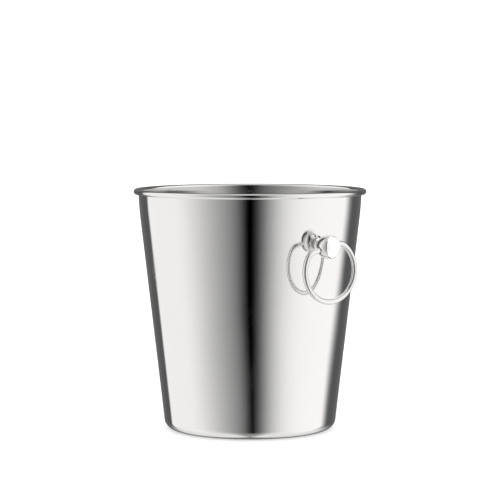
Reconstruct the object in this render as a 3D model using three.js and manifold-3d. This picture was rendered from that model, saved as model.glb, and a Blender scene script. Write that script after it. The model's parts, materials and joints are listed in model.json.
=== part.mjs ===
// A silver champagne bucket: one drawn sheet of polished steel with a rolled rim, and on each
// side a ball knob with a bore, through which a bent-wire ring handle hangs and swings.
//
// Millimetres, +Z up. The origin is the centre of the base, on the surface that the bucket stands
// on. The two handles are on +X ("right") and -X ("left"), half a turn apart.

import * as THREE from 'three';
import { mergeVertices } from 'three/addons/utils/BufferGeometryUtils.js';
import Module from 'manifold-3d';

const wasm = await Module();
wasm.setup();

// ---------------------------------------------------------------- driving dimensions

// the drawn bucket
const HEIGHT = 217.3;
const RIM_RADIUS = 105;                                // out to the side of the rolled bead
const SHEET = 0.7;
const BEAD_RADIUS = 2.5;                               // outside of the hollow curl
const CURL_SWEEP = THREE.MathUtils.degToRad(305);      // the curl stops short of the wall
const TAPER = THREE.MathUtils.degToRad(6.65);          // the wall's lean from upright
const TOP_LEAN = THREE.MathUtils.degToRad(2.5);        // what is left of it below the rim
const BEND_START = 190;                                // the wall leaves its cone here ...
const BEND_END = 211;                                  // ... and is straight again from here
const CORNER_RADIUS = 9.2;                             // outside of the corner at the base
const FOOT_INNER_RADIUS = 56;                          // the flat ring that the bucket stands on
const PANEL_RADIUS = 50;                               // the raised middle of the base
const PANEL_RISE = 1.6;

// a ball knob, on a post square to the wall
const KNOB_HEIGHT = 170.9;                             // of the ball's centre
const KNOB_STANDOFF = 15.5;                            // ball's centre to the wall's outer face
const BALL_RADIUS = 10.6;
const NECK_RADIUS = 4.2;
const NECK_FOOT_RADIUS = 5.4;                          // the neck's collar, against the seal
const NECK_FOOT_LENGTH = 1.4;
const KNOB_ROLL = THREE.MathUtils.degToRad(14);        // the knob's turn about its own post
const BORE_RADIUS = 2.75;

// a ring handle of round wire: an arc closed by a straight bar that lies in the knob's bore
const WIRE_RADIUS = 2.3;
const RING_RADIUS = 26.8;                              // to the middle of the wire
const BAR_OFFSET = 20.8;                               // the bar, from the arc's centre
const SHOULDER_RADIUS = 11;                            // where the bar bends into the arc
const RING_SLIP = -3.2;                                // the ring lies this far along its bore
const BUTT_GAP = 0.4;                                  // between the wire's ends, in the bore

// the fixing, from the wall inwards
const SCREW_RADIUS = 2.4;
const SCREW_HOLE_RADIUS = 2.75;
const SCREW_REACH = 9.5;                               // the screw's tip, outside the wall
const TAPPED_DEPTH = 10.2;                             // the end of the knob's tapped hole
const HEAD_RADIUS = 4.8;
const HEAD_HEIGHT = 2.9;
const SOCKET_RADIUS = 1.75;                            // to the corners of the hexagon
const SOCKET_DEPTH = 1.6;
const OUTER_SEAL = { radius: 5.0, thickness: 0.9 };
const INNER_SEAL = { radius: 7.2, thickness: 1.0 };
const FLAT_WASHER = { radius: 6.2, thickness: 1.0 };
const SPRING_WASHER = { radius: 4.6, thickness: 1.2 };
const SPRING_SPLIT = { width: 1.0, angle: Math.PI / 5 };
const FIT_GAP = 0.3;                                   // between pieces that touch

// how finely the round shapes are divided
const SHELL_SEGMENTS = 64;
const BALL_SEGMENTS = 32;
const ROUND_SEGMENTS = 24;
const WIRE_SIDES = 12;
const WIRE_STEPS = 64;
const CORNER_STEPS = 6;
const BEND_STEPS = 4;
const CURL_STEPS = 12;
const DOME_STEPS = 8;
const MERGE_DISTANCE = 1e-4;

// ---------------------------------------------------------------- worked-out dimensions

const curlX = RIM_RADIUS - BEAD_RADIUS;
const curlZ = HEIGHT - BEAD_RADIUS;
const curlStart = Math.PI - TOP_LEAN;
const topWallX = curlX + (BEAD_RADIUS - SHEET) * Math.cos(curlStart);
const topWallZ = curlZ + (BEAD_RADIUS - SHEET) * Math.sin(curlStart);
const bendRadius = (BEND_END - BEND_START) / (Math.sin(TAPER) - Math.sin(TOP_LEAN));
const bendX = topWallX - (topWallZ - BEND_END) * Math.tan(TOP_LEAN) - bendRadius * Math.cos(TOP_LEAN);
const bendZ = BEND_END + bendRadius * Math.sin(TOP_LEAN);
const bendStartRadius = bendX + bendRadius * Math.cos(TAPER);
const knobDistance = wallRadius(KNOB_HEIGHT) + KNOB_STANDOFF / Math.cos(TAPER);
const innerWallSag = INNER_SEAL.radius ** 2 / (2 * wallRadius(KNOB_HEIGHT));
const cornerX = wallRadius(0) - (CORNER_RADIUS * (1 - Math.sin(TAPER))) / Math.cos(TAPER);

// the angle at which a ring on a rolled bore hangs, from its post's upright
const hangAngle = Math.atan2(Math.sin(TAPER), Math.cos(TAPER) * Math.cos(KNOB_ROLL));

/** The outside of the conical wall, carried on down to the base. */
function wallRadius(z) {
  return bendStartRadius - (BEND_START - z) * Math.tan(TAPER);
}

// ---------------------------------------------------------------- materials

const polishedSteel = new THREE.MeshStandardMaterial({ color: 0xd4d4d2, roughness: 0.08, metalness: 1 });
const plainSteel = new THREE.MeshStandardMaterial({ color: 0xb4b4b2, roughness: 0.35, metalness: 1 });
const silicone = new THREE.MeshStandardMaterial({ color: 0xd8d8d4, roughness: 0.6, metalness: 0 });

// ---------------------------------------------------------------- tools

/** Points along an arc from one angle to another, both ends included. */
function arc(centreX, centreY, radius, from, to, steps) {
  return Array.from({ length: steps + 1 }, (_, i) => {
    const angle = from + ((to - from) * i) / steps;
    return new THREE.Vector2(centreX + radius * Math.cos(angle), centreY + radius * Math.sin(angle));
  });
}

/** A profile of (radius, height) points turned about +Z. */
function turned(profile, segments) {
  return new THREE.LatheGeometry(profile, segments).rotateX(Math.PI / 2);
}

/** The same, with the profile's heights measured along +X. */
function turnedAlongX(profile, segments) {
  return turned(profile, segments).rotateY(Math.PI / 2);
}

/** A closed geometry as a manifold solid. */
function solid(geometry) {
  const bare = new THREE.BufferGeometry();
  bare.setAttribute('position', geometry.getAttribute('position'));
  bare.setIndex(geometry.getIndex());
  const merged = mergeVertices(bare, MERGE_DISTANCE);
  const corners = merged.getIndex().array;
  const triVerts = [];
  for (let i = 0; i < corners.length; i += 3) {
    const [a, b, c] = corners.subarray(i, i + 3);
    if (a !== b && b !== c && c !== a) triVerts.push(a, b, c);
  }
  return new wasm.Manifold(new wasm.Mesh({
    numProp: 3,
    vertProperties: Float32Array.from(merged.getAttribute('position').array),
    triVerts: Uint32Array.from(triVerts),
  }));
}

/** A manifold solid as a three.js geometry. */
function geometryOf(manifold) {
  const { vertProperties, triVerts } = manifold.getMesh();
  const geometry = new THREE.BufferGeometry();
  geometry.setAttribute('position', new THREE.BufferAttribute(vertProperties, 3));
  geometry.setIndex(new THREE.BufferAttribute(triVerts, 1));
  geometry.computeVertexNormals();
  return geometry;
}

/** A round bar along X, between two places. */
function barAlongX(radius, from, to, segments = ROUND_SEGMENTS) {
  return new THREE.CylinderGeometry(radius, radius, to - from, segments)
    .rotateZ(Math.PI / 2)
    .translate((from + to) / 2, 0, 0);
}

function mesh(name, geometry, material) {
  const made = new THREE.Mesh(geometry, material);
  made.name = name;
  return made;
}

// ---------------------------------------------------------------- the frame of a handle

/** Ball's centre, with +X out along the knob's post and Y level. */
function postFrame(turn) {
  return new THREE.Matrix4()
    .makeRotationZ(turn)
    .multiply(new THREE.Matrix4().makeTranslation(knobDistance, 0, KNOB_HEIGHT))
    .multiply(new THREE.Matrix4().makeRotationY(TAPER));
}

// places along the post, from the ball's centre
const wallOuterX = -KNOB_STANDOFF;
const wallInnerX = wallOuterX - SHEET;
const neckEndX = wallOuterX + 2 * FIT_GAP + OUTER_SEAL.thickness;
const innerSealX = wallInnerX - FIT_GAP - innerWallSag - INNER_SEAL.thickness;
const flatWasherX = innerSealX - FIT_GAP - FLAT_WASHER.thickness;
const springWasherX = flatWasherX - FIT_GAP - SPRING_WASHER.thickness;
const headX = springWasherX - FIT_GAP;

// ---------------------------------------------------------------- the bucket

/** Outside of the sheet, from the middle of the base up to the curl. */
function outerProfile() {
  return [
    new THREE.Vector2(0, PANEL_RISE),
    new THREE.Vector2(PANEL_RADIUS, PANEL_RISE),
    new THREE.Vector2(FOOT_INNER_RADIUS, 0),
    ...arc(cornerX, CORNER_RADIUS, CORNER_RADIUS, -Math.PI / 2, -TAPER, CORNER_STEPS),
    ...arc(bendX, bendZ, bendRadius, -TAPER, -TOP_LEAN, BEND_STEPS),
  ];
}

/** Inside of the sheet, from the curl down to the middle of the floor. */
function innerProfile() {
  return [
    ...arc(bendX, bendZ, bendRadius - SHEET, -TOP_LEAN, -TAPER, BEND_STEPS),
    ...arc(cornerX, CORNER_RADIUS, CORNER_RADIUS - SHEET, -TAPER, -Math.PI / 2, CORNER_STEPS),
    new THREE.Vector2(FOOT_INNER_RADIUS, SHEET),
    new THREE.Vector2(PANEL_RADIUS, PANEL_RISE + SHEET),
    new THREE.Vector2(0, PANEL_RISE + SHEET),
  ];
}

/** The hollow curl: out over the rim, down and back towards the wall, then back along its inside. */
function curlProfile() {
  const end = curlStart - CURL_SWEEP;
  return [
    ...arc(curlX, curlZ, BEAD_RADIUS - SHEET, curlStart, end, CURL_STEPS),
    ...arc(curlX, curlZ, BEAD_RADIUS, end, curlStart, CURL_STEPS),
  ];
}

function bucketShell() {
  const sheet = solid(turned([...outerProfile(), ...curlProfile(), ...innerProfile()], SHELL_SEGMENTS));
  return [0, Math.PI].reduce((shell, turn) => {
    const drill = barAlongX(SCREW_HOLE_RADIUS, headX, -BALL_RADIUS);
    return shell.subtract(solid(drill.applyMatrix4(postFrame(turn))));
  }, sheet);
}

// ---------------------------------------------------------------- a knob

/** Ball and neck in one, cross-bored for the ring and tapped for the screw. */
function knob() {
  const meetAngle = Math.asin(NECK_RADIUS / BALL_RADIUS);
  const body = turnedAlongX([
    new THREE.Vector2(0, neckEndX),
    new THREE.Vector2(NECK_FOOT_RADIUS, neckEndX),
    new THREE.Vector2(NECK_FOOT_RADIUS, neckEndX + NECK_FOOT_LENGTH / 2),
    new THREE.Vector2(NECK_RADIUS, neckEndX + NECK_FOOT_LENGTH),
    ...arc(0, 0, BALL_RADIUS, meetAngle - Math.PI / 2, Math.PI / 2, BALL_SEGMENTS / 2),
  ], BALL_SEGMENTS);
  const bore = barAlongX(BORE_RADIUS, -2 * BALL_RADIUS, 2 * BALL_RADIUS).rotateZ(Math.PI / 2);
  const tapped = barAlongX(SCREW_HOLE_RADIUS, 2 * wallOuterX, wallOuterX + TAPPED_DEPTH);
  return solid(body).subtract(solid(bore)).subtract(solid(tapped));
}

// ---------------------------------------------------------------- a ring handle

/** A flat path as a curve in the YZ plane. */
class UprightCurve extends THREE.Curve {
  constructor(path) {
    super();
    this.path = path;
  }

  getPoint(t, target = new THREE.Vector3()) {
    const point = this.path.getPointAt(t);
    return target.set(0, point.x, point.y);
  }
}

/** Wire's centreline: half the bar, a shoulder, the arc, a shoulder and the other half. */
function ringPath() {
  const shoulderY = Math.sqrt((RING_RADIUS - SHOULDER_RADIUS) ** 2 - (BAR_OFFSET - SHOULDER_RADIUS) ** 2);
  const meet = Math.atan2(BAR_OFFSET - SHOULDER_RADIUS, shoulderY);
  const path = new THREE.Path();
  path.moveTo(BUTT_GAP / 2, 0);
  path.lineTo(shoulderY, 0);
  path.absarc(shoulderY, -SHOULDER_RADIUS, SHOULDER_RADIUS, Math.PI / 2, meet, true);
  path.absarc(0, -BAR_OFFSET, RING_RADIUS, meet, Math.PI - meet, true);
  path.absarc(-shoulderY, -SHOULDER_RADIUS, SHOULDER_RADIUS, Math.PI - meet, Math.PI / 2, true);
  path.lineTo(-BUTT_GAP / 2, 0);
  return path;
}

function ringHandle() {
  const section = new THREE.Shape(arc(0, 0, WIRE_RADIUS, 0, 2 * Math.PI, WIRE_SIDES).slice(0, -1));
  return new THREE.ExtrudeGeometry(section, {
    steps: WIRE_STEPS,
    extrudePath: new UprightCurve(ringPath()),
  });
}

// ---------------------------------------------------------------- the fixing

/** A flat ring along X, from its inner end. */
function washer({ radius, thickness }, from) {
  const disc = solid(barAlongX(radius, from, from + thickness));
  const hole = solid(barAlongX(SCREW_HOLE_RADIUS, from - thickness, from + 2 * thickness));
  return disc.subtract(hole);
}

/** A washer split across one side. */
function springWasher() {
  const { radius, thickness } = SPRING_WASHER;
  const split = new THREE.BoxGeometry(2 * thickness, SPRING_SPLIT.width, 2 * radius)
    .translate(springWasherX + thickness / 2, 0, radius)
    .rotateX(SPRING_SPLIT.angle);
  return washer(SPRING_WASHER, springWasherX).subtract(solid(split));
}

/** Domed head with a hexagon socket, and a plain shank for the thread. */
function screw() {
  const domeRadius = (HEAD_RADIUS ** 2 + HEAD_HEIGHT ** 2) / (2 * HEAD_HEIGHT);
  const domeAngle = Math.asin(HEAD_RADIUS / domeRadius);
  const domeCentre = headX - HEAD_HEIGHT + domeRadius;
  const tip = wallOuterX + SCREW_REACH;
  const body = turnedAlongX([
    ...arc(0, domeCentre, domeRadius, -Math.PI / 2, domeAngle - Math.PI / 2, DOME_STEPS),
    new THREE.Vector2(SCREW_RADIUS, headX),
    new THREE.Vector2(SCREW_RADIUS, tip - SCREW_RADIUS / 4),
    new THREE.Vector2(SCREW_RADIUS * 0.75, tip),
    new THREE.Vector2(0, tip),
  ], ROUND_SEGMENTS);
  const socket = barAlongX(SOCKET_RADIUS, headX - 2 * HEAD_HEIGHT, headX - HEAD_HEIGHT + SOCKET_DEPTH, 6);
  return solid(body).subtract(solid(socket));
}

// ---------------------------------------------------------------- the assembly

/** Everything on one side: the knob with its fixing, and the ring in the knob's bore. */
function handle(side, turn) {
  const post = new THREE.Group();
  post.applyMatrix4(postFrame(turn));
  post.add(
    mesh(`outer_seal_${side}`, geometryOf(washer(OUTER_SEAL, wallOuterX + FIT_GAP)), silicone),
    mesh(`inner_seal_${side}`, geometryOf(washer(INNER_SEAL, innerSealX)), silicone),
    mesh(`flat_washer_${side}`, geometryOf(washer(FLAT_WASHER, flatWasherX)), plainSteel),
    mesh(`spring_washer_${side}`, geometryOf(springWasher()), plainSteel),
    mesh(`screw_${side}`, geometryOf(screw()), plainSteel),
  );

  const rolled = new THREE.Group();
  rolled.rotation.x = KNOB_ROLL;
  post.add(rolled);
  rolled.add(mesh(`knob_${side}`, geometryOf(knob()), polishedSteel));

  const ring = mesh(`ring_handle_${side}`, ringHandle(), polishedSteel);
  ring.position.y = RING_SLIP;
  ring.rotation.y = -hangAngle;
  rolled.add(ring);
  return post;
}

const bucket = new THREE.Group();
bucket.add(mesh('bucket_shell', geometryOf(bucketShell()), polishedSteel));
bucket.add(handle('right', 0));
bucket.add(handle('left', Math.PI));

export default bucket;
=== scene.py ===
"""Champagne bucket: fine meshes, materials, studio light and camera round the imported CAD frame."""

import json
import math

import bmesh
import bpy
import numpy as np
from mathutils import Matrix, Vector

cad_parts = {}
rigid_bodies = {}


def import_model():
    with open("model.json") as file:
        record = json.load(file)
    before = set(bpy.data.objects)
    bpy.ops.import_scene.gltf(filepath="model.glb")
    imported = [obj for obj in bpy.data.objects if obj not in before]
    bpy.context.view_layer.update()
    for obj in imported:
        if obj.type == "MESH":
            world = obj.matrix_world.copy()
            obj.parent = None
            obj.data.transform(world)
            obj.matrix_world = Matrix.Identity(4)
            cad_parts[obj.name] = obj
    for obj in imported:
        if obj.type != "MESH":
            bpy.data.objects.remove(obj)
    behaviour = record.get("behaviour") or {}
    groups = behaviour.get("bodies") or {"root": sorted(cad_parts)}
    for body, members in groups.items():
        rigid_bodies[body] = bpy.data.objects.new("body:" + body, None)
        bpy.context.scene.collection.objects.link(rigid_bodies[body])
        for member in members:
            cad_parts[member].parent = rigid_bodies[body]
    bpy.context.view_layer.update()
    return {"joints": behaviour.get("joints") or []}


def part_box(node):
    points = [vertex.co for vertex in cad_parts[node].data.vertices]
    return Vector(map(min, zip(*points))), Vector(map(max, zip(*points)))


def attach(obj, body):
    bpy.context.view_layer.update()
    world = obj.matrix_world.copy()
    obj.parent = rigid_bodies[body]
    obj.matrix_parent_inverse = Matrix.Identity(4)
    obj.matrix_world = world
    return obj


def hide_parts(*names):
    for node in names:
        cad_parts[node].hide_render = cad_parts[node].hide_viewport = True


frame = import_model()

MM = 0.001
WELD = 1e-7                              # corners nearer to one another than this are one, in metres

# ------------------------------------------------------------------ sizes, in millimetres

shell_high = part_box("bucket_shell")[1]
HEIGHT = shell_high.z / MM
RIM_RADIUS = shell_high.y / MM
SHEET = 0.7
BEAD_RADIUS = 2.5
CURL_SWEEP = math.radians(305)
TAPER = math.radians(6.65)
TOP_LEAN = math.radians(2.5)              # what is left of the taper below the rim
BEND_START = 190.0
BEND_END = 211.0
CORNER_RADIUS = 9.2
FOOT_INNER_RADIUS = 56.0
PANEL_RADIUS = 50.0
PANEL_RISE = 1.6
PRESSED_RADIUS = 4.0                     # the soft edges of the pressed step in the base

KNOB_STANDOFF = 15.5
BALL_RADIUS = 10.58
NECK_RADIUS = 4.2
NECK_FILLET = 1.3
NECK_FOOT_RADIUS = 5.4
NECK_FOOT_LENGTH = 1.4
KNOB_ROLL = math.radians(14)
BORE_RADIUS = 2.75
MOUTH_RADIUS = 0.55                      # the rounding at each mouth of the bore
MOUTH_DEPTH = 0.9                        # where it starts, below the top of the ball
MOUTH_TURN = math.radians(62)            # how far it turns before it leaves the ball
MOUTH_RELIEF = (2.4, 1.3)                # the cutter's flare beyond that, outwards and up
CUTTER_REACH = 14.0                      # clear of the ball

WIRE_RADIUS = 2.3
RING_RADIUS = 26.8
BAR_OFFSET = 20.8
SHOULDER_RADIUS = 11.0
RING_SLIP = -3.2
BUTT_GAP = 0.4
WIRE_BEVEL = 0.35

SCREW_RADIUS = 2.4
THREAD_PITCH = 0.8
THREAD_DEPTH = 0.36
SCREW_HOLE_RADIUS = 2.75
SCREW_REACH = 9.5
TAPPED_DEPTH = 10.2
TAP_CHAMFER = 0.45
DRILL_POINT = 1.2                        # the cone that the drill leaves at the end of the tapped hole
DRILL_RUN = (-8.0, 4.0)                  # how far the wall's drill reaches to either side of the wall
HEAD_RADIUS = 4.8
HEAD_HEIGHT = 2.9
SOCKET_RADIUS = 1.75
SOCKET_DEPTH = 1.6
OUTER_SEAL = (5.0, 0.9)                  # radius and thickness
INNER_SEAL = (7.2, 1.0)
FLAT_WASHER = (6.2, 1.0)
SPRING_WASHER = (4.6, 1.2)
SPRING_SPLIT_WIDTH = 1.0
SPRING_SPLIT_ANGLE = math.pi / 5
SPRING_SLANT = 0.10                      # the lean of its cut ends, in radians per millimetre
FIT_GAP = 0.3

curl_r, curl_z = RIM_RADIUS - BEAD_RADIUS, HEIGHT - BEAD_RADIUS
curl_start = math.pi - TOP_LEAN
top_wall_r = curl_r + (BEAD_RADIUS - SHEET) * math.cos(curl_start)
top_wall_z = curl_z + (BEAD_RADIUS - SHEET) * math.sin(curl_start)
bend_radius = (BEND_END - BEND_START) / (math.sin(TAPER) - math.sin(TOP_LEAN))
bend_r = top_wall_r - (top_wall_z - BEND_END) * math.tan(TOP_LEAN) - bend_radius * math.cos(TOP_LEAN)
bend_z = BEND_END + bend_radius * math.sin(TOP_LEAN)
bend_start_radius = bend_r + bend_radius * math.cos(TAPER)


def wall_radius(z):
    """The outside of the conical wall."""
    return bend_start_radius - (BEND_START - z) * math.tan(TAPER)


corner_r = wall_radius(0) - CORNER_RADIUS * (1 - math.sin(TAPER)) / math.cos(TAPER)
level_sheet = SHEET / math.cos(TAPER)    # the sheet's thickness measured level

# ------------------------------------------------------------------ mesh tools


def arc(centre_x, centre_y, radius, start, end, steps):
    """Points along an arc, both ends included."""
    return [
        (centre_x + radius * math.cos(a), centre_y + radius * math.sin(a))
        for a in np.linspace(start, end, steps + 1)
    ]


def rounded(points, radii, steps=6):
    """A polyline with its inner corners rounded off."""
    made = [points[0]]
    for before, here, after, radius in zip(points, points[1:], points[2:], radii):
        p, a, b = Vector(here), Vector(before), Vector(after)
        u, v = (a - p).normalized(), (b - p).normalized()
        half = u.angle(v) / 2
        reach = min(radius / math.tan(half), 0.45 * (a - p).length, 0.45 * (b - p).length)
        radius_here = reach * math.tan(half)
        centre = p + (u + v).normalized() * (radius_here / math.sin(half))
        first, last = p + u * reach - centre, p + v * reach - centre
        turn = first.angle(last)
        side = 1 if first.x * last.y - first.y * last.x > 0 else -1
        start = math.atan2(first.y, first.x)
        made += arc(centre.x, centre.y, radius_here, start, start + side * turn, steps)
    return made + [points[-1]]


def spun(rings, segments):
    """Rings of (radius or radii, height) joined to one another and closed at any zero radius."""
    angles = np.arange(segments) * 2 * math.pi / segments
    verts, faces, rows = [], [], []
    for radius, height in rings:
        if np.ndim(radius) == 0 and abs(radius) < 1e-9:
            rows.append([len(verts)])
            verts.append((0.0, 0.0, height))
            continue
        rows.append(list(range(len(verts), len(verts) + segments)))
        xs, ys = radius * np.cos(angles), radius * np.sin(angles)
        verts += [(x, y, height) for x, y in zip(xs, ys)]
    for low, high in zip(rows, rows[1:]):
        for i in range(segments):
            j = (i + 1) % segments
            if len(low) == 1:
                faces.append((low[0], high[j], high[i]))
            elif len(high) == 1:
                faces.append((low[i], low[j], high[0]))
            else:
                faces.append((low[i], low[j], high[j], high[i]))
    return verts, faces


def piece(name, verts, faces, place=Matrix.Identity(4), along_x=False):
    """A closed mesh object, from millimetres in the frame `place`, facing outwards."""
    mesh = bpy.data.meshes.new(name)
    mesh.from_pydata([Vector(v) * MM for v in verts], [], faces)
    if along_x:
        mesh.transform(Matrix.Rotation(math.pi / 2, 4, "Y"))
    mesh.transform(place)
    bm = bmesh.new()
    bm.from_mesh(mesh)
    bmesh.ops.remove_doubles(bm, verts=bm.verts, dist=WELD)
    bmesh.ops.recalc_face_normals(bm, faces=bm.faces)
    bm.to_mesh(mesh)
    bm.free()
    made = bpy.data.objects.new(name, mesh)
    bpy.context.scene.collection.objects.link(made)
    return made


def welded(mesh):
    """Joins corners that lie on one another, so that no face has lost its width."""
    bm = bmesh.new()
    bm.from_mesh(mesh)
    bmesh.ops.remove_doubles(bm, verts=bm.verts, dist=WELD)
    bmesh.ops.dissolve_degenerate(bm, edges=bm.edges, dist=WELD)
    bm.to_mesh(mesh)
    bm.free()
    return mesh


def cut(body, cutter):
    """Takes the cutter's solid out of the body's."""
    modifier = body.modifiers.new("cut", "BOOLEAN")
    modifier.operation = "DIFFERENCE"
    modifier.solver = "EXACT"
    modifier.object = cutter
    bpy.context.view_layer.update()
    mesh = bpy.data.meshes.new_from_object(body.evaluated_get(bpy.context.evaluated_depsgraph_get()))
    body.modifiers.clear()
    body.data = welded(mesh)
    bpy.data.objects.remove(cutter)


def smooth(body, sharp_degrees=32):
    """Shades smoothly, but for edges sharper than this."""
    body.data.polygons.foreach_set("use_smooth", [True] * len(body.data.polygons))
    body.data.set_sharp_from_angle(angle=math.radians(sharp_degrees))


def true_normals(body, normal_at):
    """Corner normals from the exact surface, on the faces where normal_at gives one."""
    mesh = body.data
    normals = np.zeros((len(mesh.loops), 3))
    for polygon in mesh.polygons:
        known = [normal_at(mesh.vertices[v].co, polygon.normal) for v in polygon.vertices]
        if all(n is not None for n in known):
            for loop, n in zip(polygon.loop_indices, known):
                normals[loop] = n
    mesh.normals_split_custom_set([tuple(n) for n in normals])


def finish_piece(body, node_name, rides_on, slot, *materials):
    """Fills in what every piece has: its materials and its body, and hides its CAD node; the slot is not
    used.
    """
    for material in materials:
        body.data.materials.append(material)
    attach(body, rides_on)
    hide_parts(node_name)


# ------------------------------------------------------------------ material tools


def node(tree, kind, inputs=None, **settings):
    """A shader node with its sockets set or linked."""
    made = tree.nodes.new(kind)
    for key, value in settings.items():
        setattr(made, key, value)
    for key, value in (inputs or {}).items():
        socket = made.inputs[key]
        if isinstance(value, bpy.types.NodeSocket):
            tree.links.new(value, socket)
        else:
            socket.default_value = value
    return made


def maths(tree, operation, a, b=0.0, c=0.0):
    return node(tree, "ShaderNodeMath", {0: a, 1: b, 2: c}, operation=operation).outputs[0]


def mixed(tree, factor, first, second):
    """A number between two others."""
    return node(tree, "ShaderNodeMix", {0: factor, 2: first, 3: second}).outputs[0]


def spread(tree, value, low, high, to_low, to_high, smoothly=False):
    """The value's range laid over another range."""
    kind = "SMOOTHSTEP" if smoothly else "LINEAR"
    inputs = {0: value, 1: low, 2: high, 3: to_low, 4: to_high}
    return node(tree, "ShaderNodeMapRange", inputs, interpolation_type=kind).outputs[0]


def noise(tree, place, stretch, scale, detail=3.0, turn=(0.0, 0.0, 0.0), roughness=0.5):
    """Noise in object space, stretched by axis."""
    mapped = node(tree, "ShaderNodeMapping", {"Vector": place, "Rotation": turn, "Scale": stretch})
    made = node(tree, "ShaderNodeTexNoise", {
        "Vector": mapped.outputs[0], "Scale": scale, "Detail": detail, "Roughness": roughness,
    })
    return made.outputs[0]


def material(name):
    """A new material with its node tree and its one shader."""
    made = bpy.data.materials.new(name)
    made.use_nodes = True
    tree = made.node_tree
    tree.nodes.clear()
    output = tree.nodes.new("ShaderNodeOutputMaterial")
    shader = tree.nodes.new("ShaderNodeBsdfPrincipled")
    tree.links.new(shader.outputs[0], output.inputs[0])
    return made, tree, shader


def tinted(tree, factor, dark, light):
    """A colour between two others."""
    inputs = {0: factor, 6: (*dark, 1), 7: (*light, 1)}
    return node(tree, "ShaderNodeMix", inputs, data_type="RGBA").outputs[2]


def bumped(tree, *layers):
    """Bump layers of (height, distance in metres), laid one over another."""
    normal = None
    for height, distance in layers:
        inputs = {"Strength": 1.0, "Distance": distance, "Height": height}
        if normal:
            inputs["Normal"] = normal
        normal = node(tree, "ShaderNodeBump", inputs).outputs[0]
    return normal


def scratches(tree, place, seed, scale):
    """Thin, scattered scratches: the narrow crests of noise drawn out along three directions."""
    lines = None
    for k, turn in enumerate(((0.4, 0.2, 0.9), (1.3, 0.5, 2.3), (2.2, 1.1, 0.3))):
        moved = node(tree, "ShaderNodeVectorMath", {0: place, 1: (seed + k, 3.1 * k, seed)}, operation="ADD")
        drawn = noise(tree, moved.outputs[0], (1.0, 26.0, 26.0), scale, 1.0, turn)
        ridge = maths(tree, "ABSOLUTE", maths(tree, "SUBTRACT", drawn, 0.5))
        thin = spread(tree, ridge, 0.0, 0.006, 1.0, 0.0)
        lines = thin if lines is None else maths(tree, "MAXIMUM", lines, thin)
    patches = spread(tree, noise(tree, place, (1, 1, 1), scale * 0.8, 2.0), 0.5, 0.66, 0.0, 1.0)
    return maths(tree, "MULTIPLY", lines, patches)


# ------------------------------------------------------------------ materials


def polished_steel():
    """Mirror-polished steel: upright drawing streaks, polishing lines round it, light scratches."""
    made, tree, shader = material("PolishedSteel")
    place = node(tree, "ShaderNodeTexCoord").outputs["Object"]
    bloom = noise(tree, place, (1, 1, 1), 22.0, 4.0)
    polish = noise(tree, place, (3.0, 3.0, 420.0), 3.0, 3.0)
    marks = scratches(tree, place, 4.0, 34.0)
    peel = noise(tree, place, (1, 1, 1), 45.0, 1.0)
    drawn = noise(tree, place, (1, 1, 0.05), 85.0, 4.0, roughness=0.6)
    shade = maths(tree, "MULTIPLY_ADD", polish, 0.5, maths(tree, "MULTIPLY", bloom, 0.5))
    colour = tinted(tree, shade, (0.865, 0.865, 0.86), (0.905, 0.905, 0.90))
    tree.links.new(colour, shader.inputs["Base Color"])
    rough = spread(tree, bloom, 0.35, 0.7, 0.022, 0.05)
    rough = maths(tree, "MULTIPLY_ADD", spread(tree, polish, 0.4, 0.7, 0.0, 1.0), 0.015, rough)
    rough = maths(tree, "MULTIPLY_ADD", marks, 0.16, rough)
    tree.links.new(rough, shader.inputs["Roughness"])
    height = bumped(tree, (peel, 0.000012), (drawn, 0.00004), (polish, 0.0000008), (marks, 0.000004))
    tree.links.new(height, shader.inputs["Normal"])
    shader.inputs["Metallic"].default_value = 1.0
    return made


def satin_inside():
    """The bucket's inside: satin lines round it and water marks, and painted shade that makes it greyer
    towards the rim.
    """
    made, tree, shader = material("SatinInside")
    place = node(tree, "ShaderNodeTexCoord").outputs["Object"]
    stains = noise(tree, place, (1, 1, 1), 30.0, 5.0, roughness=0.6)
    lines = noise(tree, place, (4.0, 4.0, 900.0), 3.0, 4.0)
    marks = scratches(tree, place, 9.0, 28.0)
    height = node(tree, "ShaderNodeSeparateXYZ", {0: place}).outputs["Z"]
    depth = spread(tree, height, 0.145, 0.190, 1, 0, True)
    # painted shade: the steel's colour is greyer near the rim, standing in for the darker surroundings that
    # the far inside mirrors
    painted_rim_shade = tinted(tree, lines, (0.54, 0.54, 0.535), (0.61, 0.61, 0.605))
    deep = tinted(tree, lines, (0.76, 0.76, 0.75), (0.84, 0.84, 0.83))
    shade = node(tree, "ShaderNodeMix", {0: depth, 6: painted_rim_shade, 7: deep}, data_type="RGBA").outputs[2]
    tree.links.new(shade, shader.inputs["Base Color"])
    rough = spread(tree, stains, 0.35, 0.7, 0.05, 0.08)
    rough = maths(tree, "MULTIPLY_ADD", depth, 0.07, rough)
    rough = maths(tree, "MULTIPLY_ADD", lines, 0.015, rough)
    rough = maths(tree, "MULTIPLY_ADD", marks, 0.12, rough)
    tree.links.new(rough, shader.inputs["Roughness"])
    tree.links.new(bumped(tree, (lines, 0.000001), (marks, 0.000004)), shader.inputs["Normal"])
    shader.inputs["Metallic"].default_value = 0.97
    return made


def plain_steel():
    """Plain stainless fasteners: turned and tumbled, with dull machining lines."""
    made, tree, shader = material("PlainSteel")
    place = node(tree, "ShaderNodeTexCoord").outputs["Object"]
    grain = noise(tree, place, (1, 1, 1), 900.0, 4.0)
    turned_lines = noise(tree, place, (1800.0, 60.0, 60.0), 1.0, 3.0)
    tree.links.new(tinted(tree, grain, (0.56, 0.56, 0.55), (0.70, 0.70, 0.69)), shader.inputs["Base Color"])
    rough = spread(tree, grain, 0.3, 0.7, 0.24, 0.42)
    tree.links.new(rough, shader.inputs["Roughness"])
    tree.links.new(bumped(tree, (turned_lines, 0.000012), (grain, 0.00001)), shader.inputs["Normal"])
    shader.inputs["Metallic"].default_value = 1.0
    return made


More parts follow.
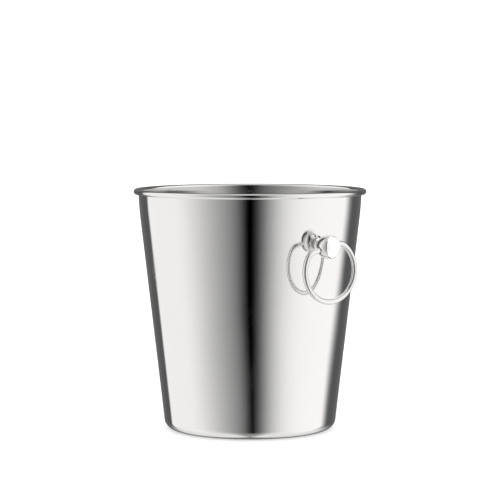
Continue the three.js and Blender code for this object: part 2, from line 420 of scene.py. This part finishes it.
def silicone():
    """Translucent grey silicone with a fine matt skin."""
    made, tree, shader = material("Silicone")
    place = node(tree, "ShaderNodeTexCoord").outputs["Object"]
    cloud = noise(tree, place, (1, 1, 1), 260.0, 3.0)
    skin = noise(tree, place, (1, 1, 1), 4200.0, 2.0)
    tree.links.new(tinted(tree, cloud, (0.46, 0.46, 0.45), (0.60, 0.60, 0.58)), shader.inputs["Base Color"])
    tree.links.new(spread(tree, skin, 0.3, 0.7, 0.42, 0.60), shader.inputs["Roughness"])
    tree.links.new(bumped(tree, (skin, 0.00001)), shader.inputs["Normal"])
    shader.inputs["Subsurface Weight"].default_value = 0.25
    shader.inputs["Subsurface Radius"].default_value = (0.0012, 0.0012, 0.0012)
    shader.inputs["Subsurface Scale"].default_value = 1.0
    return made


POLISHED, INSIDE, PLAIN, SILICONE = polished_steel(), satin_inside(), plain_steel(), silicone()

# ------------------------------------------------------------------ the bucket


def shell_profile():
    """The sheet's section, from the middle of the base over the rim to the middle of the floor."""
    base = rounded(
        [(0, PANEL_RISE), (PANEL_RADIUS, PANEL_RISE), (FOOT_INNER_RADIUS, 0), (corner_r, 0)],
        [PRESSED_RADIUS, PRESSED_RADIUS], 8)[:-1]
    wall_foot_z = CORNER_RADIUS - CORNER_RADIUS * math.sin(TAPER)
    # rings up the wall, close together where the screw holes are cut
    heights = [wall_foot_z + 0.2] + list(np.linspace(20, 155, 13)) + list(np.linspace(161, 181, 15))
    heights += [186, BEND_START - 0.2]
    outer = base + [(corner_r - 0.2, 0)]
    outer += arc(corner_r, CORNER_RADIUS, CORNER_RADIUS, -math.pi / 2, -TAPER, 30)
    outer += [(wall_radius(z), z) for z in heights]
    outer += arc(bend_r, bend_z, bend_radius, -TAPER, -TOP_LEAN, 16)
    end = curl_start - CURL_SWEEP
    outer += arc(curl_r, curl_z, BEAD_RADIUS - SHEET, curl_start, end, 24)
    edge = BEAD_RADIUS - SHEET / 2
    outer += arc(curl_r + edge * math.cos(end), curl_z + edge * math.sin(end), SHEET / 2,
                 end + math.pi, end + 2 * math.pi, 6)[1:-1]
    outer += arc(curl_r, curl_z, BEAD_RADIUS, end, curl_start, 56)
    inner = arc(bend_r, bend_z, bend_radius - SHEET, -TOP_LEAN, -TAPER, 16)
    inner += [(wall_radius(z) - level_sheet, z) for z in reversed(heights)]
    inner += arc(corner_r, CORNER_RADIUS, CORNER_RADIUS - SHEET, -TAPER, -math.pi / 2, 20)
    inner += rounded(
        [(corner_r - 0.2, SHEET), (FOOT_INNER_RADIUS, SHEET),
         (PANEL_RADIUS, PANEL_RISE + SHEET), (0, PANEL_RISE + SHEET)],
        [PRESSED_RADIUS, PRESSED_RADIUS], 8)
    return outer + inner


def bucket_shell():
    """The spun sheet with its two screw holes, polished outside and satin inside."""
    made = piece("Bucket", *spun(shell_profile(), 320))
    start, end = (-KNOB_STANDOFF + run for run in DRILL_RUN)
    drill = [(0, start), (SCREW_HOLE_RADIUS, start), (SCREW_HOLE_RADIUS, end), (0, end)]
    for joint in frame["joints"]:
        post = post_frame(Vector(joint["pos_m"]) / MM)
        cut(made, piece("drill", *spun(drill, 48), post, along_x=True))
    smooth(made, 40)
    flags = []
    for polygon in made.data.polygons:
        x, y, z = polygon.center / MM
        r = math.hypot(x, y)
        facing_in = polygon.normal.x * x + polygon.normal.y * y < 0 or polygon.normal.z > 0.5
        if z > BEND_END:
            flag = r < RIM_RADIUS - 2 * BEAD_RADIUS + 0.3 and z < HEIGHT - BEAD_RADIUS + 0.4 and facing_in
        elif z > CORNER_RADIUS:
            flag = r < wall_radius(z) - SHEET / 2 if z < BEND_START else facing_in
        else:
            flag = polygon.normal.z > 0.02 or facing_in
        flags.append(1 if flag else 0)

    def on_wall(co, facing):
        x, y, z = co / MM
        r = math.hypot(x, y)
        if not CORNER_RADIUS < z < BEND_START - 0.1:
            return None
        outward = Vector((x / r * math.cos(TAPER), y / r * math.cos(TAPER), -math.sin(TAPER)))
        if abs(r - wall_radius(z)) < 0.03 and facing.dot(outward) > 0.9:
            return outward
        if abs(r - wall_radius(z) + level_sheet) < 0.03 and facing.dot(outward) < -0.9:
            return -outward
        return None

    true_normals(made, on_wall)
    finish_piece(made, "bucket_shell", "bucket", "polished_steel", POLISHED, INSIDE)
    made.data.polygons.foreach_set("material_index", flags)


# ------------------------------------------------------------------ a handle


def post_frame(centre):
    """Ball's centre in millimetres, as a frame in metres with +X out along the knob's post."""
    turn = math.atan2(centre.y, centre.x)
    return Matrix.Translation(centre * MM) @ Matrix.Rotation(turn, 4, "Z") @ Matrix.Rotation(TAPER, 4, "Y")


wall_outer_x = -KNOB_STANDOFF
wall_inner_x = wall_outer_x - SHEET
neck_end_x = wall_outer_x + 2 * FIT_GAP + OUTER_SEAL[1]


def knob_profile():
    """Foot collar, waisted neck and ball, from the wall outwards."""
    meet = math.asin((NECK_RADIUS + NECK_FILLET) / (BALL_RADIUS + NECK_FILLET))
    fillet_x = -(BALL_RADIUS + NECK_FILLET) * math.cos(meet)
    collar = rounded(
        [(0, neck_end_x), (NECK_FOOT_RADIUS, neck_end_x), (NECK_FOOT_RADIUS, neck_end_x + NECK_FOOT_LENGTH),
         (NECK_RADIUS, neck_end_x + NECK_FOOT_LENGTH + 0.5), (NECK_RADIUS, fillet_x)],
        [0.5, 0.65, 0.6], 8)[:-1]
    neck = arc(NECK_RADIUS + NECK_FILLET, fillet_x, NECK_FILLET, math.pi, math.pi / 2 + meet, 10)
    ball = arc(0, 0, BALL_RADIUS, meet - math.pi / 2, math.pi / 2, 110)
    ball[-1] = (0, BALL_RADIUS)
    return collar + neck + ball[1:]


def knob(name, node_name, rolled):
    """Cut in its own frame and then placed: cut in place, near-coaxial faces leave holes."""
    made = piece(name, *spun(knob_profile(), 160), along_x=True)
    lip = BALL_RADIUS - MOUTH_DEPTH
    mouth = [(BORE_RADIUS + MOUTH_RADIUS * (1 - math.cos(a)), lip + MOUTH_RADIUS * math.sin(a))
             for a in np.linspace(0, MOUTH_TURN, 7)]
    relief = (mouth[-1][0] + MOUTH_RELIEF[0], mouth[-1][1] + MOUTH_RELIEF[1])
    half = [(0, CUTTER_REACH), (relief[0], CUTTER_REACH), relief] + mouth[::-1]
    bore = half + [(r, -y) for r, y in half[::-1]]
    cut(made, piece("bore", *spun(bore, 72), Matrix.Rotation(-math.pi / 2, 4, "X")))
    chamfered = SCREW_HOLE_RADIUS + TAP_CHAMFER
    tap_end = wall_outer_x + TAPPED_DEPTH
    tapped = [(0, wall_outer_x - 6), (chamfered, wall_outer_x - 6), (chamfered, neck_end_x),
              (SCREW_HOLE_RADIUS, neck_end_x + TAP_CHAMFER), (SCREW_HOLE_RADIUS, tap_end - DRILL_POINT),
              (0, tap_end)]
    cut(made, piece("tap", *spun(tapped, 48), along_x=True))
    made.data.transform(rolled)
    smooth(made)

    centre = rolled.translation

    def on_ball(co, facing):
        out = co - centre
        radial = out.normalized()
        if abs(out.length / MM - BALL_RADIUS) < 0.01 and facing.dot(radial) > 0.9:
            return radial
        return None

    true_normals(made, on_ball)
    finish_piece(made, node_name, "bucket", "polished_steel", POLISHED)


def ring_centreline():
    """Points and headings along the wire, in the ring's plane (Y across, Z up)."""
    shoulder_y = math.sqrt((RING_RADIUS - SHOULDER_RADIUS) ** 2 - (BAR_OFFSET - SHOULDER_RADIUS) ** 2)
    meet = math.atan2(BAR_OFFSET - SHOULDER_RADIUS, shoulder_y)
    points = [(y, 0.0, 0.0) for y in np.linspace(BUTT_GAP / 2, shoulder_y, 9)[:-1]]

    def bend(centre_y, centre_z, radius, start, end, steps):
        for a in np.linspace(start, end, steps + 1)[:-1]:
            points.append((centre_y + radius * math.cos(a), centre_z + radius * math.sin(a), a - math.pi / 2))

    bend(shoulder_y, -SHOULDER_RADIUS, SHOULDER_RADIUS, math.pi / 2, meet, 26)
    bend(0, -BAR_OFFSET, RING_RADIUS, meet, -math.pi - meet, 200)
    bend(-shoulder_y, -SHOULDER_RADIUS, SHOULDER_RADIUS, -math.pi - meet, -1.5 * math.pi, 26)
    points += [(y, 0.0, -2 * math.pi) for y in np.linspace(-shoulder_y, -BUTT_GAP / 2, 9)]
    return points


def ring_handle(name, node_name, body_name, place):
    """A tube swept along the centreline, its two cut ends slightly bevelled."""
    sides = 48
    path = ring_centreline()
    y0, z0, h0 = path[0]
    y1, z1, h1 = path[-1]
    sections = [(y0, z0, h0, WIRE_RADIUS - WIRE_BEVEL), (y0 + WIRE_BEVEL, z0, h0, WIRE_RADIUS)]
    sections += [(y, z, h, WIRE_RADIUS) for y, z, h in path[1:-1]]
    sections += [(y1 - WIRE_BEVEL, z1, h1, WIRE_RADIUS), (y1, z1, h1, WIRE_RADIUS - WIRE_BEVEL)]
    verts, faces = [], []
    for y, z, heading, radius in sections:
        for a in np.arange(sides) * 2 * math.pi / sides:
            across, aside = radius * math.cos(a), radius * math.sin(a)
            verts.append((aside, y - across * math.sin(heading), z + across * math.cos(heading)))
    for s in range(len(sections) - 1):
        for i in range(sides):
            j = (i + 1) % sides
            faces.append((s * sides + i, s * sides + j, (s + 1) * sides + j, (s + 1) * sides + i))
    for first in (0, (len(sections) - 1) * sides):
        faces.append(tuple(range(first, first + sides)))
    made = piece(name, verts, faces, place)
    smooth(made, 30)
    finish_piece(made, node_name, body_name, "polished_steel", POLISHED)


def washer_rings(radius, thickness, start, edge):
    """A flat ring's section, closed on itself, with rounded edges."""
    inner = SCREW_HOLE_RADIUS
    corners = [(inner, start), (radius, start), (radius, start + thickness), (inner, start + thickness)]
    loop = corners + corners[:3]
    section = rounded(loop, [edge] * 5, 5)[1:-1]
    return section[: 4 * 6]


def closed_spun(section, segments):
    """A section with a hole in its middle, spun and joined back to its start."""
    verts, faces = spun(section, segments)
    last = (len(section) - 1) * segments
    for i in range(segments):
        j = (i + 1) % segments
        faces.append((last + i, last + j, j, i))
    return verts, faces


def washer(name, node_name, size, start, post, slot, stuff, edge=0.22):
    """A flat washer or seal of (radius, thickness) from `start` outwards along the post."""
    made = piece(name, *closed_spun(washer_rings(*size, start, edge), 96), post, along_x=True)
    smooth(made, 40)
    finish_piece(made, node_name, "bucket", slot, stuff)


def spring_washer(name, node_name, start, post):
    """A square-section coil of just under one turn, wound flat, with slanted ends."""
    radius, thickness = SPRING_WASHER
    section = washer_rings(radius, thickness, start, 0.2)
    half = math.asin(SPRING_SPLIT_WIDTH / 2 / (radius - 1))
    steps = 90
    verts, faces = [], []
    for s in range(steps + 1):
        along = half + (2 * math.pi - 2 * half) * s / steps
        for r, x in section:
            a = along + SPRING_SLANT * (x - start - thickness / 2) - SPRING_SPLIT_ANGLE
            verts.append((x, r * math.sin(a), r * math.cos(a)))
    n = len(section)
    for s in range(steps):
        for i in range(n):
            j = (i + 1) % n
            faces.append((s * n + i, s * n + j, (s + 1) * n + j, (s + 1) * n + i))
    faces += [tuple(range(n)), tuple(range(steps * n, (steps + 1) * n))]
    made = piece(name, verts, faces, post)
    smooth(made, 40)
    finish_piece(made, node_name, "bucket", "plain_steel", PLAIN)


def screw(name, node_name, head_x, post):
    """Domed socket head and a helical thread of real pitch."""
    segments = 48
    dome_radius = (HEAD_RADIUS ** 2 + HEAD_HEIGHT ** 2) / (2 * HEAD_HEIGHT)
    dome_angle = math.asin(HEAD_RADIUS / dome_radius)
    dome_centre = head_x - HEAD_HEIGHT + dome_radius
    tip = wall_outer_x + SCREW_REACH
    rings = [(0, head_x - HEAD_HEIGHT)]
    rings += arc(0, dome_centre, dome_radius, -math.pi / 2, dome_angle - math.pi / 2 - 0.04, 20)[1:]
    rings += [(HEAD_RADIUS, head_x - 0.25), (HEAD_RADIUS - 0.1, head_x)]
    rings += [(SCREW_RADIUS + 0.25, head_x), (SCREW_RADIUS, head_x + 0.25)]
    turns = np.arange(segments) / segments
    start = head_x + 1.2
    for x in np.arange(start, tip - 0.35, THREAD_PITCH / 8):
        phase = (x / THREAD_PITCH - turns) % 1.0
        groove = np.clip(np.abs(phase - 0.5) * 2.5 - 0.2, 0, 1)
        ease = min(1.0, (x - start) / THREAD_PITCH)
        rings.append((SCREW_RADIUS - THREAD_DEPTH * groove * ease, x))
    rings += [(SCREW_RADIUS * 0.78, tip - 0.2), (SCREW_RADIUS * 0.68, tip), (0, tip)]
    made = piece(name, *spun(rings, segments), post, along_x=True)
    top = head_x - HEAD_HEIGHT
    socket = [(0, top + SOCKET_DEPTH + 0.5), (SOCKET_RADIUS, top + SOCKET_DEPTH), (SOCKET_RADIUS, top + 0.3),
              (SOCKET_RADIUS + 0.8, top - 0.6), (0, top - 0.6)]
    cut(made, piece("socket", *spun(socket, 6), post, along_x=True))
    smooth(made, 35)
    finish_piece(made, node_name, "bucket", "plain_steel", PLAIN)


def handle(side, joint):
    """A knob with its ring, seals, washers and screw, stacked along the post through the wall."""
    centre = Vector(joint["pos_m"]) / MM
    post = post_frame(centre)
    rolled = post @ Matrix.Rotation(KNOB_ROLL, 4, "X")
    hang = math.atan2(math.sin(TAPER), math.cos(TAPER) * math.cos(KNOB_ROLL))
    ring = rolled @ Matrix.Translation((0, RING_SLIP * MM, 0)) @ Matrix.Rotation(-hang, 4, "Y")

    sag = INNER_SEAL[0] ** 2 / (2 * wall_radius(centre.z))
    inner_seal_x = wall_inner_x - FIT_GAP - sag - INNER_SEAL[1]
    flat_washer_x = inner_seal_x - FIT_GAP - FLAT_WASHER[1]
    spring_washer_x = flat_washer_x - FIT_GAP - SPRING_WASHER[1]
    head_x = spring_washer_x - FIT_GAP

    knob(f"Knob_{side}", f"knob_{side}", rolled)
    ring_handle(f"Ring_{side}", f"ring_handle_{side}", joint["child"], ring)
    washer(f"OuterSeal_{side}", f"outer_seal_{side}", OUTER_SEAL, wall_outer_x + FIT_GAP, post,
           "silicone", SILICONE)
    washer(f"InnerSeal_{side}", f"inner_seal_{side}", INNER_SEAL, inner_seal_x, post, "silicone", SILICONE)
    washer(f"FlatWasher_{side}", f"flat_washer_{side}", FLAT_WASHER, flat_washer_x, post,
           "plain_steel", PLAIN, 0.15)
    spring_washer(f"SpringWasher_{side}", f"spring_washer_{side}", spring_washer_x, post)
    screw(f"Screw_{side}", f"screw_{side}", head_x, post)


bucket_shell()
for joint in frame["joints"]:
    handle(joint["child"].split("_")[1], joint)

# ------------------------------------------------------------------ camera

VIEW_AZIMUTH = math.radians(53)          # round the bucket from -Y towards +X
CAMERA_DISTANCE = 1.890
CAMERA_HEIGHT = 0.303
CAMERA_PITCH = math.radians(4.28)
CAMERA_LENS = 150.8

toward = Vector((math.sin(VIEW_AZIMUTH), -math.cos(VIEW_AZIMUTH), 0))
rightward = Vector((math.cos(VIEW_AZIMUTH), math.sin(VIEW_AZIMUTH), 0))
camera_data = bpy.data.cameras.new("Camera")
camera_data.lens = CAMERA_LENS
camera_data.sensor_width = 36
camera = bpy.data.objects.new("Camera", camera_data)
bpy.context.scene.collection.objects.link(camera)
camera.location = toward * CAMERA_DISTANCE + Vector((0, 0, CAMERA_HEIGHT))
looking = -toward * math.cos(CAMERA_PITCH) - Vector((0, 0, math.sin(CAMERA_PITCH)))
camera.rotation_mode = "QUATERNION"
camera.rotation_quaternion = looking.to_track_quat("-Z", "Y")
bpy.context.scene.camera = camera

# ------------------------------------------------------------------ floor and studio

FLOOR_REACH = 9.0                        # metres to each side
FLOOR_DROP = 0.0002                      # keeps it clear of the foot


def pale_floor():
    """White acrylic. The steel doesn't mirror it: the studio's lower part stands in for it there."""
    reach = FLOOR_REACH
    mesh = bpy.data.meshes.new("Floor")
    mesh.from_pydata([(-reach, -reach, 0), (reach, -reach, 0), (reach, reach, 0), (-reach, reach, 0)],
                     [], [(0, 1, 2, 3)])
    floor = bpy.data.objects.new("Floor", mesh)
    bpy.context.scene.collection.objects.link(floor)
    floor.location.z = -FLOOR_DROP
    floor.visible_glossy = False
    floor.visible_shadow = False
    acrylic, tree, shader = material("PaleAcrylic")
    place = node(tree, "ShaderNodeTexCoord").outputs["Object"]
    cloud = noise(tree, place, (1, 1, 1), 3.0)
    tree.links.new(tinted(tree, cloud, (0.90, 0.90, 0.90), (0.93, 0.93, 0.93)), shader.inputs["Base Color"])
    shader.inputs["Roughness"].default_value = 0.5
    shader.inputs["Specular IOR Level"].default_value = 0.0
    shader.inputs["Emission Color"].default_value = (1, 1, 1, 1)
    shader.inputs["Emission Strength"].default_value = 0.25
    sheen = node(tree, "ShaderNodeBsdfGlossy", {"Roughness": 0.12})
    topped = node(tree, "ShaderNodeMixShader", {0: 0.05, 1: shader.outputs[0], 2: sheen.outputs[0]})
    tree.links.new(topped.outputs[0], tree.nodes["Material Output"].inputs[0])
    mesh.materials.append(acrylic)


pale_floor()

# the studio round the bucket, by degrees from the camera's side: a soft box on either side that rises
# out of a dark gap in front and ends at dim walls behind; brightnesses are as they show on a display
RIGHT_BOX = 0.97
RIGHT_RISE = 28.5                        # how slowly the right box rises out of the gap
RIGHT_END = (113, 135)                   # where it fades into the wall behind
LEFT_BOX_NEAR = 0.50                     # the left box next to the gap, and what it gains further out
LEFT_BOX_GAIN = 0.43
LEFT_RISE = 12.5
LEFT_GAIN_END = 88
LEFT_END = (-129, -135)
WALL_BEHIND = (0.33, 0.40)               # beside the boxes and right behind
WALL_TURN = (140, 165)
LOW_RISE = 31.0                          # low down the right box rises later and the left one starts past
LOW_OVERLAP = 5.5                        # the middle, which closes the gap to a narrow foot
LOW_SETS_IN = (-19.2, -22.0)             # elevations over which that happens
LOW_EDGE_SHIFT = 4.2                     # degrees that the right box's far edge draws in, low down
EDGE_SETS_IN = (-11.2, -14.5)            # elevations over which it does, and azimuths between which
EDGE_AZIMUTHS = (90, 110)                # the shift fades in
BENEATH_MIDDLE = (0.20, 0.32)            # light from steeply below: behind and in front in the middle,
BENEATH_SIDES = 0.85                     # and at both sides
BENEATH_FRONT = (-33, -68)               # the elevations over which it takes over from the boxes,
BENEATH_BACK = (-17, -42)                # in front and behind
OVERHEAD = 0.65
OVERHEAD_SETS_IN = (50, 66)
WARM_WHITE = (1.0, 0.984, 0.975)
SURROUND = 1.3                           # the plain white that the camera and matt surfaces see
DISPLAY_GAMMA = 2.2
STEEL_REFLECTANCE = 0.88


def degrees(first, second):
    return math.radians(first), math.radians(second)


def elevations(first, second):
    """The same two elevations as heights of a direction."""
    return math.sin(math.radians(first)), math.sin(math.radians(second))


def box_light(tree, azimuth, low):
    """The studio's light by azimuth; `low` goes from 0 to 1 towards the floor."""
    width = spread(tree, low, 0, 1, *degrees(RIGHT_RISE, LOW_RISE))
    rise = maths(tree, "TANH", maths(tree, "DIVIDE", azimuth, width))
    right = maths(tree, "MULTIPLY", rise, RIGHT_BOX)
    overlap = maths(tree, "MULTIPLY", low, math.radians(LOW_OVERLAP))
    leftward = maths(tree, "SUBTRACT", overlap, azimuth)
    near = maths(tree, "TANH", maths(tree, "DIVIDE", leftward, math.radians(LEFT_RISE)))
    gain = spread(tree, leftward, *degrees(0, LEFT_GAIN_END), 0, LEFT_BOX_GAIN, True)
    left = maths(tree, "MULTIPLY_ADD", near, LEFT_BOX_NEAR, gain)
    boxes = maths(tree, "MAXIMUM", maths(tree, "MAXIMUM", left, right), 0.0)
    either_way = maths(tree, "ABSOLUTE", azimuth)
    wall = spread(tree, either_way, *degrees(*WALL_TURN), *WALL_BEHIND, True)
    past = maths(tree, "MAXIMUM", spread(tree, azimuth, *degrees(*RIGHT_END), 0, 1, True),
                 spread(tree, azimuth, *degrees(*LEFT_END), 0, 1, True))
    shown = mixed(tree, past, boxes, wall)
    return maths(tree, "DIVIDE", maths(tree, "POWER", shown, DISPLAY_GAMMA), STEEL_REFLECTANCE)


def studio():
    """Light by direction for what the steel mirrors, and plain white for everything else."""
    world = bpy.data.worlds.new("Studio")
    bpy.context.scene.world = world
    world.use_nodes = True
    tree = world.node_tree
    tree.nodes.clear()
    direction = node(tree, "ShaderNodeTexCoord").outputs["Generated"]

    def along(axis):
        inputs = {0: direction, 1: axis}
        return node(tree, "ShaderNodeVectorMath", inputs, operation="DOT_PRODUCT").outputs["Value"]

    up = along((0, 0, 1))
    azimuth = maths(tree, "ARCTAN2", along(rightward), along(toward))
    shift = spread(tree, up, *elevations(*EDGE_SETS_IN), 0, math.radians(LOW_EDGE_SHIFT))
    drawn_in = maths(tree, "MULTIPLY", shift, spread(tree, azimuth, *degrees(*EDGE_AZIMUTHS), 0, 1))
    low = spread(tree, up, *elevations(*LOW_SETS_IN), 0, 1)
    sides = box_light(tree, maths(tree, "ADD", azimuth, drawn_in), low)
    across = maths(tree, "ABSOLUTE", maths(tree, "SINE", azimuth))
    facing = maths(tree, "COSINE", azimuth)
    middle = spread(tree, facing, -0.3, 0.5, *BENEATH_MIDDLE, True)
    beneath = mixed(tree, spread(tree, across, 0.15, 0.7, 0, 1, True), middle, BENEATH_SIDES)
    steep_front = spread(tree, up, *elevations(*BENEATH_FRONT), 0, 1, True)
    steep_back = spread(tree, up, *elevations(*BENEATH_BACK), 0, 1, True)
    steep = mixed(tree, spread(tree, facing, -0.2, -0.5, 0, 1), steep_front, steep_back)
    overhead = spread(tree, up, *elevations(*OVERHEAD_SETS_IN), 0, 1, True)
    light = mixed(tree, overhead, mixed(tree, steep, sides, beneath), OVERHEAD)
    warmth = tinted(tree, light, (1, 1, 1), WARM_WHITE)
    background = node(tree, "ShaderNodeBackground", {"Color": warmth, "Strength": light})
    plain = node(tree, "ShaderNodeBackground", {"Color": (1, 1, 1, 1), "Strength": SURROUND})
    path = node(tree, "ShaderNodeLightPath")
    seen_plain = maths(tree, "MAXIMUM", path.outputs["Is Camera Ray"], path.outputs["Is Diffuse Ray"])
    both = node(tree, "ShaderNodeMixShader", {0: seen_plain, 1: background.outputs[0], 2: plain.outputs[0]})
    output = tree.nodes.new("ShaderNodeOutputWorld")
    tree.links.new(both.outputs[0], output.inputs[0])


studio()


KNOB_BOX_SIZE = 16.0                     # metres: seen from a knob it fills nearly half of all directions
KNOB_BOX_DISTANCE = 0.35
KNOB_BOX_TURN = math.radians(74)         # from the camera's side towards the right
KNOB_BOX_DEPTH = 2.5                     # rays that have gone further than this don't see it


def handle_light():
    """A soft box that only the knobs mirror, and only where they are seen directly.

    Its ray depth is limited so that the knob's own mirror image in the wall stays free of it."""
    data = bpy.data.lights.new("HandleBox", "AREA")
    data.shape = "RECTANGLE"
    data.size = data.size_y = KNOB_BOX_SIZE
    data.energy = data.size * data.size_y * math.pi
    data.use_nodes = True
    tree = data.node_tree
    depth = node(tree, "ShaderNodeLightPath").outputs["Ray Depth"]
    near = maths(tree, "LESS_THAN", depth, KNOB_BOX_DEPTH)
    tree.links.new(near, tree.nodes["Emission"].inputs["Strength"])
    box = bpy.data.objects.new("HandleBox", data)
    bpy.context.scene.collection.objects.link(box)
    box.visible_camera = False
    centre = Vector(frame["joints"][0]["pos_m"])
    out = toward * math.cos(KNOB_BOX_TURN) + rightward * math.sin(KNOB_BOX_TURN)
    box.location = centre + out * KNOB_BOX_DISTANCE
    box.rotation_mode = "QUATERNION"
    box.rotation_quaternion = out.to_track_quat("Z", "Y")
    takers = bpy.data.collections.new("Handles")
    for o in bpy.context.scene.objects:
        if o.name.startswith("Knob_"):
            takers.objects.link(o)
    box.light_linking.receiver_collection = takers


handle_light()
bpy.context.scene.view_settings.view_transform = "Standard"
